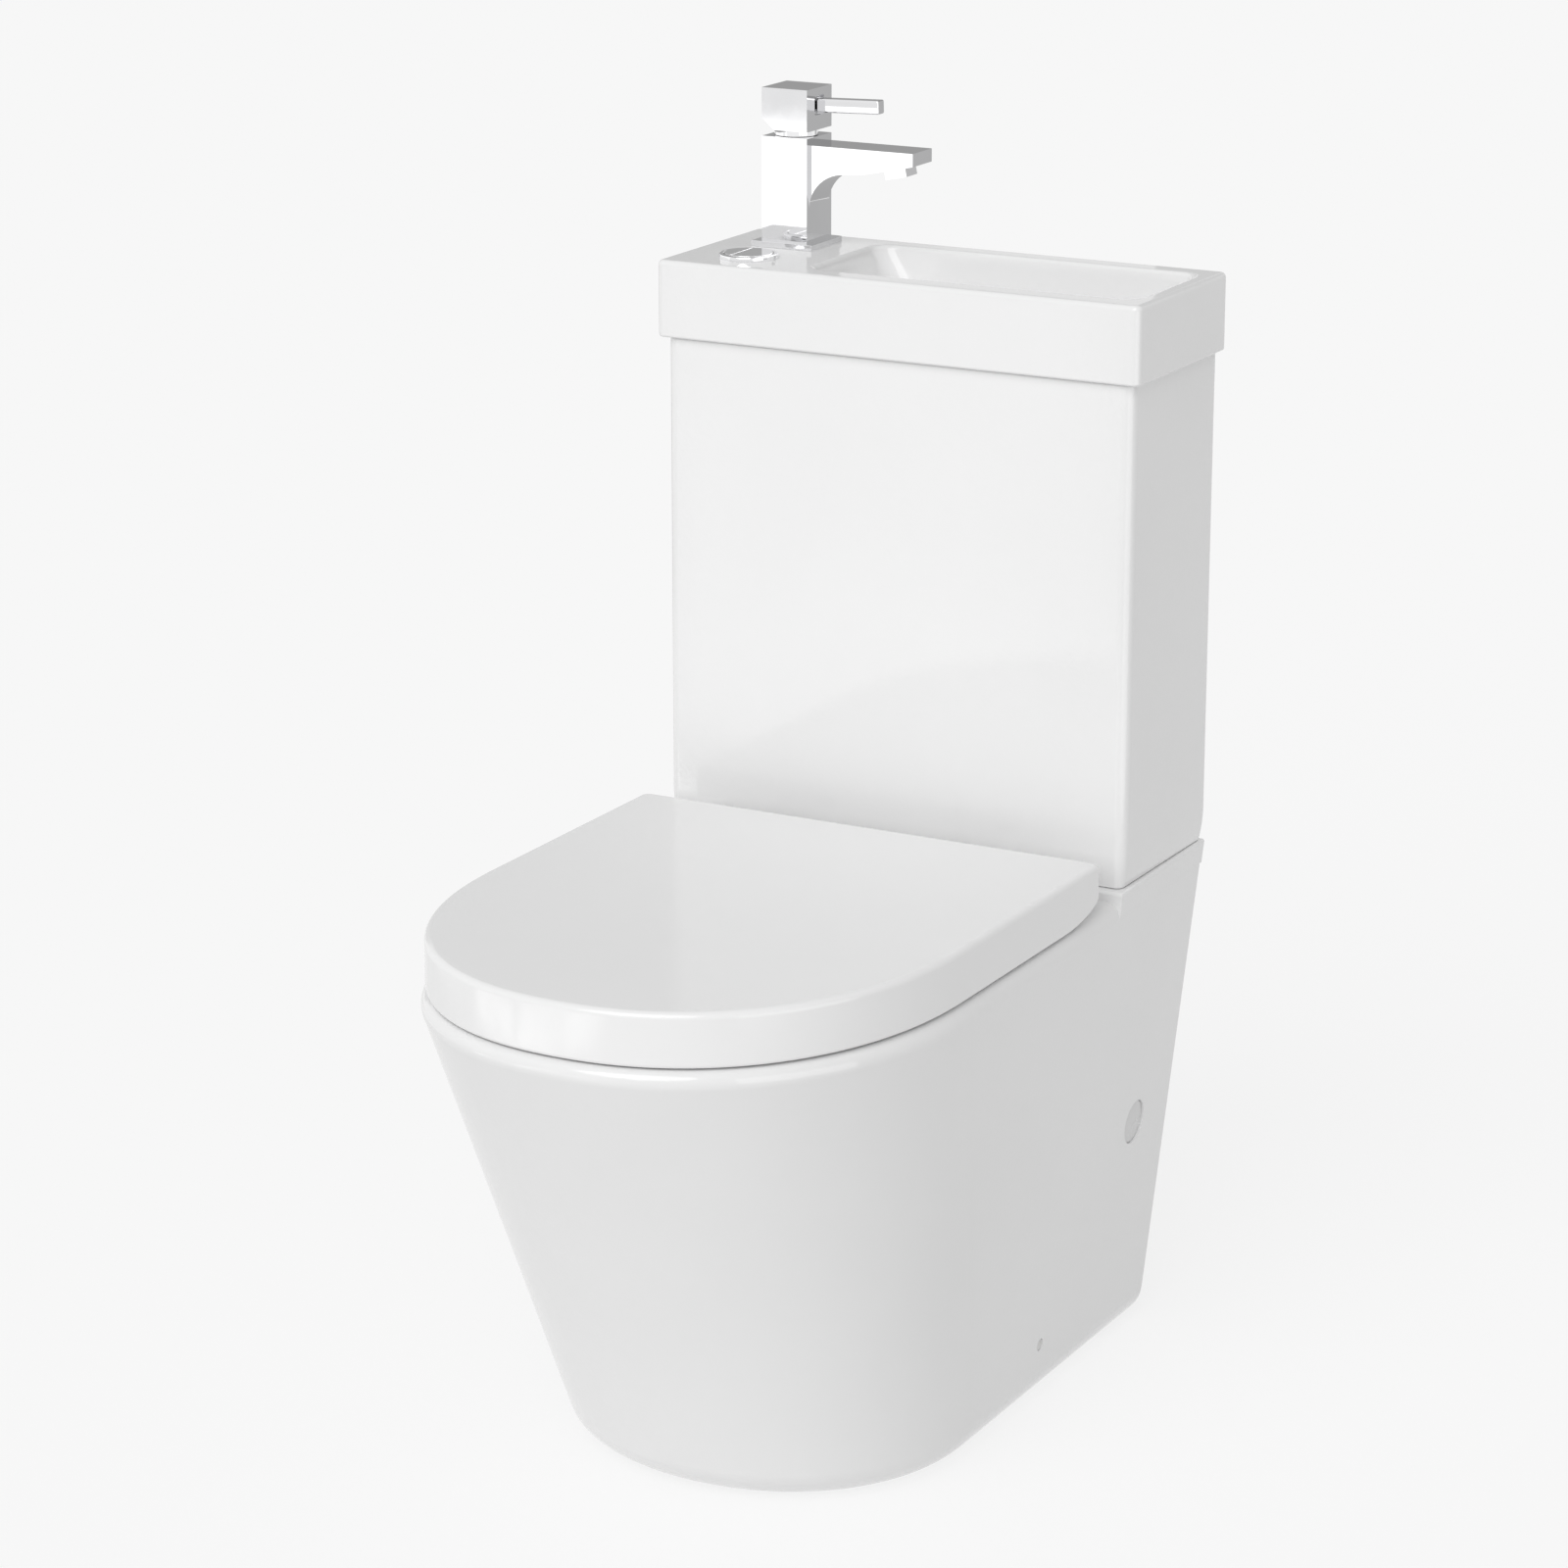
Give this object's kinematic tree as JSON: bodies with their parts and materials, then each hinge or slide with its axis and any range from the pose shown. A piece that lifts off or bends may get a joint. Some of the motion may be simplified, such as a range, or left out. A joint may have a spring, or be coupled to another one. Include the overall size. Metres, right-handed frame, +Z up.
{
  "type": "combined toilet and basin",
  "caption": "Back-to-wall toilet whose cistern lid is a hand basin with a square mixer tap and a round flush button, with a D-shaped seat and wrap-over lid.",
  "frame": {"origin": "on the floor under the middle of the unit's overall box; the wall plane is at Y = +328.75 mm", "axes": "+Z up, +Y towards the wall, -Y towards the user, +X towards the user's right when facing the unit"},
  "size_m": [0.4, 0.6576, 0.9625],
  "materials": {
    "glazed_ceramic": "white vitreous glaze, glossy",
    "seat_plastic": "white thermoset, glossy",
    "buffer_rubber": "soft pale rubber",
    "chrome": "polished chrome plate",
    "steel": "plain stainless steel",
    "black_rubber": "matt black rubber",
    "white_plastic": "moulded, satin",
    "blue_plastic": "moulded, satin",
    "grey_plastic": "moulded, satin",
    "red_rubber": "matt red silicone",
    "brass": "turned brass",
    "copper": "bright copper tube"
  },
  "bodies": {
    "toilet": {"pan": "glazed_ceramic", "cistern": "glazed_ceramic", "basin": "glazed_ceramic", "hinge_posts": "chrome", "hinge_pins": "steel", "seat_bolts": "steel", "seat_washers": "black_rubber", "seat_nuts": "white_plastic", "coupling_bolts": "brass", "coupling_rubbers": "black_rubber", "coupling_washers": "steel", "wing_nuts": "brass", "doughnut_seal": "black_rubber", "flush_valve_body": "white_plastic", "flush_valve_washer": "black_rubber", "flush_valve_nut": "white_plastic", "air_tubes": "grey_plastic", "button_housing": "white_plastic", "button_bezel": "chrome", "button_nut": "white_plastic", "full_button_spring": "steel", "half_button_spring": "steel", "fill_valve": "white_plastic", "fill_washer": "black_rubber", "fill_nut": "white_plastic", "tap_plate": "chrome", "tap_body": "chrome", "tap_cartridge": "white_plastic", "tap_ring_nut": "brass", "tap_aerator": "chrome", "tap_stud": "brass", "tap_horseshoe": "black_rubber", "tap_stud_nut": "brass", "tap_tails": "copper", "waste_flange": "chrome", "waste_grid": "chrome", "waste_screw": "chrome", "waste_washer": "black_rubber", "waste_nut": "white_plastic", "waste_tail": "white_plastic", "access_caps": "seat_plastic", "floor_brackets": "steel", "side_screws": "white_plastic"},
    "seat": {"seat_ring": "seat_plastic", "seat_buffers": "buffer_rubber"},
    "lid": {"seat_lid": "seat_plastic", "lid_buffers": "buffer_rubber"},
    "full_flush_button": {"full_button": "chrome"},
    "half_flush_button": {"half_button": "chrome"},
    "flush_lift": {"flush_stem": "blue_plastic", "flush_seal": "red_rubber"},
    "half_flush_lift": {"half_flush_float": "blue_plastic"},
    "float": {"fill_float": "grey_plastic"},
    "float_arm": {"fill_arm": "blue_plastic"},
    "tap_turn": {"tap_neck": "chrome", "tap_spindle": "brass"},
    "tap_handle": {"tap_head": "chrome", "tap_head_pin": "steel", "tap_lever": "chrome", "tap_grub_screw": "steel"}
  },
  "joints": [
    {"name": "seat_hinge", "type": "hinge", "parent": "toilet", "child": "seat", "pos_m": [0, 0.12275, 0.41], "axis": [-1, 0, 0], "range_deg": [0, 93]},
    {"name": "lid_hinge", "type": "hinge", "parent": "seat", "child": "lid", "pos_m": [0, 0.12275, 0.41], "axis": [1, 0, 0], "range_deg": [-93, 0]},
    {"name": "full_button_press", "type": "slide", "parent": "toilet", "child": "full_flush_button", "axis": [0, 0, -1], "range_m": [0, 0.005], "stiffness_N_per_m": 700, "springref_m": -0.003, "deforming": ["full_button_spring"]},
    {"name": "half_button_press", "type": "slide", "parent": "toilet", "child": "half_flush_button", "axis": [0, 0, -1], "range_m": [0, 0.005], "stiffness_N_per_m": 600, "springref_m": -0.003, "deforming": ["half_button_spring"]},
    {"name": "flush_valve_lift", "type": "slide", "parent": "toilet", "child": "flush_lift", "axis": [0, 0, 1], "range_m": [0, 0.015]},
    {"name": "half_flush_lift", "type": "slide", "parent": "toilet", "child": "half_flush_lift", "axis": [0, 0, 1], "range_m": [0, 0.01]},
    {"name": "float_rise", "type": "slide", "parent": "toilet", "child": "float", "axis": [0, 0, 1], "range_m": [0, 0.012]},
    {"name": "float_arm_turn", "type": "hinge", "parent": "toilet", "child": "float_arm", "pos_m": [0.143, 0.25125, 0.681], "axis": [0, 1, 0], "range_deg": [0, 20.1]},
    {"name": "tap_swivel", "type": "hinge", "parent": "toilet", "child": "tap_turn", "pos_m": [-0.139, 0.27975, 0.931], "axis": [0, 0, 1], "range_deg": [-45, 45]},
    {"name": "tap_lift", "type": "hinge", "parent": "tap_turn", "child": "tap_handle", "pos_m": [-0.139, 0.27975, 0.938], "axis": [0, -1, 0], "range_deg": [0, 15]}
  ],
  "couplings": [
    {"joint": "flush_valve_lift", "follows": "full_button_press", "ratio": 3},
    {"joint": "half_flush_lift", "follows": "half_button_press", "ratio": 2},
    {"joint": "float_arm_turn", "follows": "float_rise", "rad_per_m": 29.163}
  ]
}
